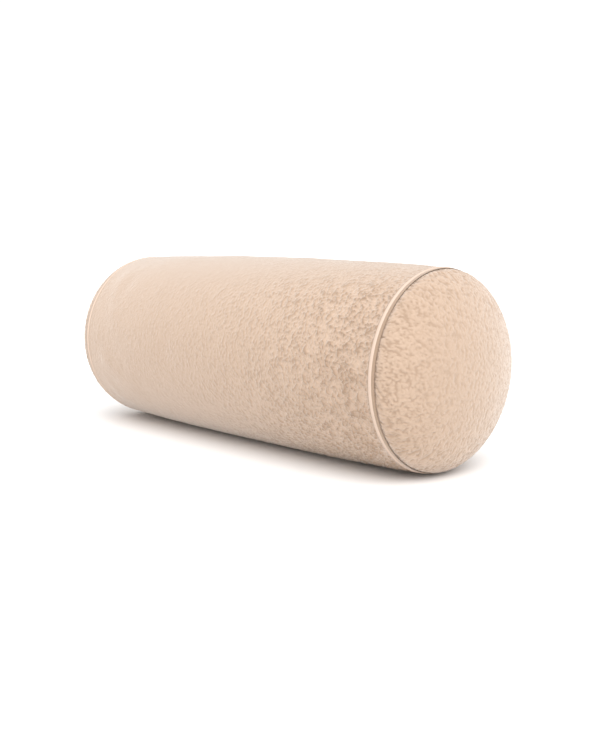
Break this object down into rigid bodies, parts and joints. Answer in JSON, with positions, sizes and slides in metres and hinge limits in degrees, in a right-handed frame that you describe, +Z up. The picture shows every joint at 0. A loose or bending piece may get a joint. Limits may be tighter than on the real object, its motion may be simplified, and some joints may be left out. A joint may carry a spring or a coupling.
{
  "type": "bolster pillow",
  "caption": "Cylindrical bolster pillow in curly fleece, with domed ends, piped seams and a back zip that opens its removable cover.",
  "frame": {"origin": "middle of the footprint, on the surface that the pillow lies on", "axes": "+X along the pillow's length, +Y from its front to its zip side, +Z up"},
  "size_m": [0.536, 0.2, 0.197],
  "materials": {
    "fleece": "curly polyester pile, matt",
    "piping_cloth": "smooth bias strip, slight sheen",
    "cotton": "plain weave, matt",
    "wadding": "loose polyester fibre",
    "foam": "open-cell foam",
    "zip_tape": "woven herringbone tape",
    "nylon": "satin moulded nylon",
    "zip_metal": "plated, satin",
    "label_ribbon": "satin ribbon, blank"
  },
  "bodies": {
    "cover": {"cover_body_panel": "fleece", "cover_end_panel_right": "fleece", "cover_end_panel_left": "fleece", "piping_sleeve_right": "piping_cloth", "piping_sleeve_left": "piping_cloth", "piping_cord_right": "cotton", "piping_cord_left": "cotton", "inner_casing_tube": "cotton", "inner_casing_end_right": "cotton", "inner_casing_end_left": "cotton", "wadding_wrap": "wadding", "wadding_pad_right": "wadding", "wadding_pad_left": "wadding", "foam_core": "foam", "zip_tape_upper": "zip_tape", "zip_tape_lower": "zip_tape", "zip_coil_upper": "nylon", "zip_coil_lower": "nylon", "zip_bottom_stop": "zip_metal", "zip_top_stop_upper": "zip_metal", "zip_top_stop_lower": "zip_metal", "care_label": "label_ribbon"},
    "zip_slider": {"zip_slider_body": "zip_metal"},
    "zip_pull": {"zip_pull_tab": "zip_metal"}
  },
  "joints": [
    {"name": "zip_slide", "type": "slide", "parent": "cover", "child": "zip_slider", "axis": [1, 0, 0], "range_m": [0, 0.34]},
    {"name": "pull_tab_hinge", "type": "hinge", "parent": "zip_slider", "child": "zip_pull", "pos_m": [-0.1704, 0.09209, 0.13052], "axis": [0, -0.342, 0.9397], "range_deg": [0, 176]}
  ]
}
